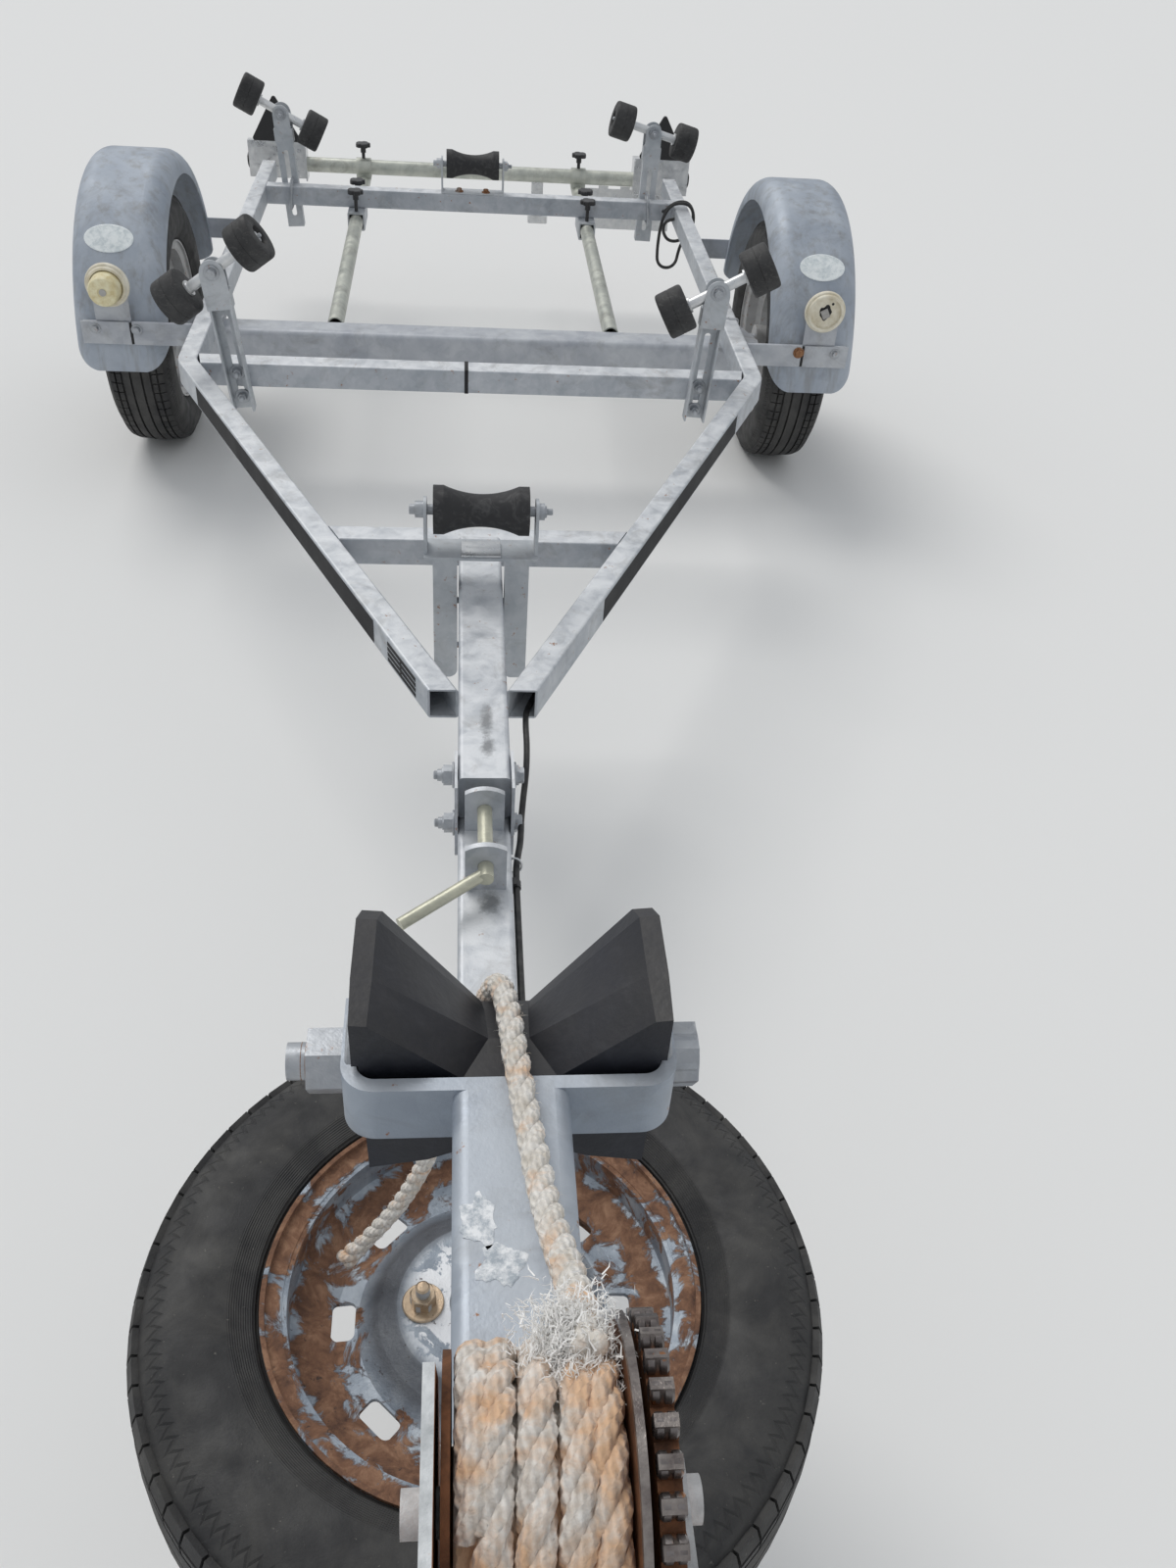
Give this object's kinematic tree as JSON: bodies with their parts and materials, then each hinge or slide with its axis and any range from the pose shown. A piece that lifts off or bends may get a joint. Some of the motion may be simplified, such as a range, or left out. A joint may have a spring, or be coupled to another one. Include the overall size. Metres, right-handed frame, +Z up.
{
  "type": "boat trailer",
  "caption": "Galvanised single-axle boat trailer with tilting drawbar, winch post, bow chock, rocking side rollers, keel rollers and slide-out light bar.",
  "frame": {"origin": "middle of the trailer's length and width, on the floor", "axes": "+Y towards the tail, +Z up, +X to the right of someone who faces the tail"},
  "size_m": [1.764, 4.832, 1.1005],
  "materials": {
    "galvanised": "dull hot-dip zinc",
    "bolt_steel": "zinc-plated",
    "bright_zinc": "zinc-plated, worn",
    "yellow_zinc": "yellow passivated zinc",
    "wheel_silver": "silver paint",
    "tyre": "weathered rubber",
    "roller_rubber": "moulded rubber",
    "chock_rubber": "moulded rubber",
    "black_plastic": "moulded",
    "lamp_cream": "sun-faded",
    "lamp_red": "moulded lens",
    "reflector_red": "prismatic lens",
    "rope": "braided",
    "lead_black": "flexible sheath"
  },
  "bodies": {
    "frame": {"side_rail_right": "galvanised", "side_rail_left": "galvanised", "cross_members": "galvanised", "drawbar_rear_tube": "galvanised", "tilt_plates": "galvanised", "axle": "galvanised", "mudguards": "galvanised", "mudguard_stays": "galvanised", "marker_lamps": "lamp_cream", "roller_uprights": "galvanised", "pivot_bolts": "bolt_steel", "keel_brackets": "galvanised", "keel_pins": "bolt_steel", "slide_sleeves": "galvanised", "slide_knobs": "black_plastic", "lead_loops": "lead_black", "lead_rear": "lead_black"},
    "road_wheel_left": {"tyre_left": "tyre", "wheel_left": "wheel_silver"},
    "road_wheel_right": {"tyre_right": "tyre", "wheel_right": "wheel_silver"},
    "drawbar": {"drawbar_front_tube": "galvanised", "winch_post": "galvanised", "bow_chock": "chock_rubber", "chock_bolt": "bolt_steel", "winch_frame": "bright_zinc", "winch_drum": "bright_zinc", "wound_rope": "rope", "spare_tyre": "tyre", "spare_rim": "wheel_silver", "spare_carrier": "galvanised", "coupling": "bright_zinc", "jockey_clamp": "bright_zinc", "jockey_tube": "bright_zinc", "rope_tail": "rope", "lead_front": "lead_black", "lead_fittings": "black_plastic"},
    "latch": {"latch_pin": "yellow_zinc"},
    "light_bar": {"light_bar": "galvanised", "bar_knobs": "black_plastic", "lamp_plates": "yellow_zinc", "rear_lamps": "lamp_red", "reflectors": "reflector_red"},
    "keel_roller_front": {"keel_roller_front": "roller_rubber"},
    "keel_roller_rear": {"keel_roller_rear": "roller_rubber"},
    "jockey_leg": {"jockey_leg": "bright_zinc"},
    "jockey_fork": {"jockey_fork": "bright_zinc"},
    "jockey_wheel": {"jockey_wheel": "tyre"},
    "rocker_front_left": {"rocker_front_left": "bright_zinc"},
    "roller_front_left_a": {"roller_front_left_a": "roller_rubber"},
    "roller_front_left_b": {"roller_front_left_b": "roller_rubber"},
    "rocker_front_right": {"rocker_front_right": "bright_zinc"},
    "roller_front_right_a": {"roller_front_right_a": "roller_rubber"},
    "roller_front_right_b": {"roller_front_right_b": "roller_rubber"},
    "rocker_rear_left": {"rocker_rear_left": "bright_zinc"},
    "roller_rear_left_a": {"roller_rear_left_a": "roller_rubber"},
    "roller_rear_left_b": {"roller_rear_left_b": "roller_rubber"},
    "rocker_rear_right": {"rocker_rear_right": "bright_zinc"},
    "roller_rear_right_a": {"roller_rear_right_a": "roller_rubber"},
    "roller_rear_right_b": {"roller_rear_right_b": "roller_rubber"}
  },
  "joints": [
    {"name": "wheel_spin_left", "type": "hinge", "parent": "frame", "child": "road_wheel_left", "pos_m": [-0.781, 1.306, 0.289], "axis": [1, 0, 0], "continuous": true},
    {"name": "wheel_spin_right", "type": "hinge", "parent": "frame", "child": "road_wheel_right", "pos_m": [0.781, 1.306, 0.289], "axis": [1, 0, 0], "continuous": true},
    {"name": "drawbar_tilt", "type": "hinge", "parent": "frame", "child": "drawbar", "pos_m": [0, -0.608, 0.3225], "axis": [1, 0, 0], "range_deg": [0, 20]},
    {"name": "latch_slide", "type": "slide", "parent": "drawbar", "child": "latch", "axis": [0, -1, 0], "range_m": [0, 0.042]},
    {"name": "light_bar_slide", "type": "slide", "parent": "frame", "child": "light_bar", "axis": [0, 1, 0], "range_m": [0, 0.65]},
    {"name": "keel_spin_front", "type": "hinge", "parent": "frame", "child": "keel_roller_front", "pos_m": [0, -0.136, 0.549], "axis": [1, 0, 0], "continuous": true},
    {"name": "keel_spin_rear", "type": "hinge", "parent": "frame", "child": "keel_roller_rear", "pos_m": [0, 2.012, 0.495], "axis": [1, 0, 0], "continuous": true},
    {"name": "jockey_lift", "type": "slide", "parent": "drawbar", "child": "jockey_leg", "axis": [0, 0, 1], "range_m": [-0.12, 0.06]},
    {"name": "jockey_swivel", "type": "hinge", "parent": "jockey_leg", "child": "jockey_fork", "pos_m": [0.082, -2.011, 0.215], "axis": [0, 0, 1], "continuous": true},
    {"name": "jockey_spin", "type": "hinge", "parent": "jockey_fork", "child": "jockey_wheel", "pos_m": [0.082, -1.966, 0.1], "axis": [1, 0, 0], "continuous": true},
    {"name": "rocker_tilt_front_left", "type": "hinge", "parent": "frame", "child": "rocker_front_left", "pos_m": [-0.52, 0.705, 0.614], "axis": [0, 1, 0], "range_deg": [-3.5, 62]},
    {"name": "roller_spin_front_left_a", "type": "hinge", "parent": "rocker_front_left", "child": "roller_front_left_a", "pos_m": [-0.44436, 0.705, 0.66896], "axis": [-0.809, 0, -0.5878], "continuous": true},
    {"name": "roller_spin_front_left_b", "type": "hinge", "parent": "rocker_front_left", "child": "roller_front_left_b", "pos_m": [-0.59564, 0.705, 0.55904], "axis": [-0.809, 0, -0.5878], "continuous": true},
    {"name": "rocker_tilt_front_right", "type": "hinge", "parent": "frame", "child": "rocker_front_right", "pos_m": [0.491, 0.705, 0.612], "axis": [0, 1, 0], "range_deg": [0, 65.5]},
    {"name": "roller_spin_front_right_a", "type": "hinge", "parent": "rocker_front_right", "child": "roller_front_right_a", "pos_m": [0.57278, 0.705, 0.65733], "axis": [-0.8746, 0, -0.4848], "continuous": true},
    {"name": "roller_spin_front_right_b", "type": "hinge", "parent": "rocker_front_right", "child": "roller_front_right_b", "pos_m": [0.40922, 0.705, 0.56667], "axis": [-0.8746, 0, -0.4848], "continuous": true},
    {"name": "rocker_tilt_rear_left", "type": "hinge", "parent": "frame", "child": "rocker_rear_left", "pos_m": [-0.53, 2.048, 0.597], "axis": [0, 1, 0], "range_deg": [-64, 1.5]},
    {"name": "roller_spin_rear_left_a", "type": "hinge", "parent": "rocker_rear_left", "child": "roller_rear_left_a", "pos_m": [-0.61331, 2.048, 0.63945], "axis": [0.891, 0, -0.454], "continuous": true},
    {"name": "roller_spin_rear_left_b", "type": "hinge", "parent": "rocker_rear_left", "child": "roller_rear_left_b", "pos_m": [-0.44669, 2.048, 0.55455], "axis": [0.891, 0, -0.454], "continuous": true},
    {"name": "rocker_tilt_rear_right", "type": "hinge", "parent": "frame", "child": "rocker_rear_right", "pos_m": [0.513, 2.048, 0.595], "axis": [0, 1, 0], "range_deg": [-46.5, 19]},
    {"name": "roller_spin_rear_right_a", "type": "hinge", "parent": "rocker_rear_right", "child": "roller_rear_right_a", "pos_m": [0.42269, 2.048, 0.6192], "axis": [0.9659, 0, -0.2588], "continuous": true},
    {"name": "roller_spin_rear_right_b", "type": "hinge", "parent": "rocker_rear_right", "child": "roller_rear_right_b", "pos_m": [0.60331, 2.048, 0.5708], "axis": [0.9659, 0, -0.2588], "continuous": true}
  ],
  "couplings": [
    {"joint": "latch_slide", "follows": "drawbar_tilt", "m_per_rad": 0.12}
  ]
}
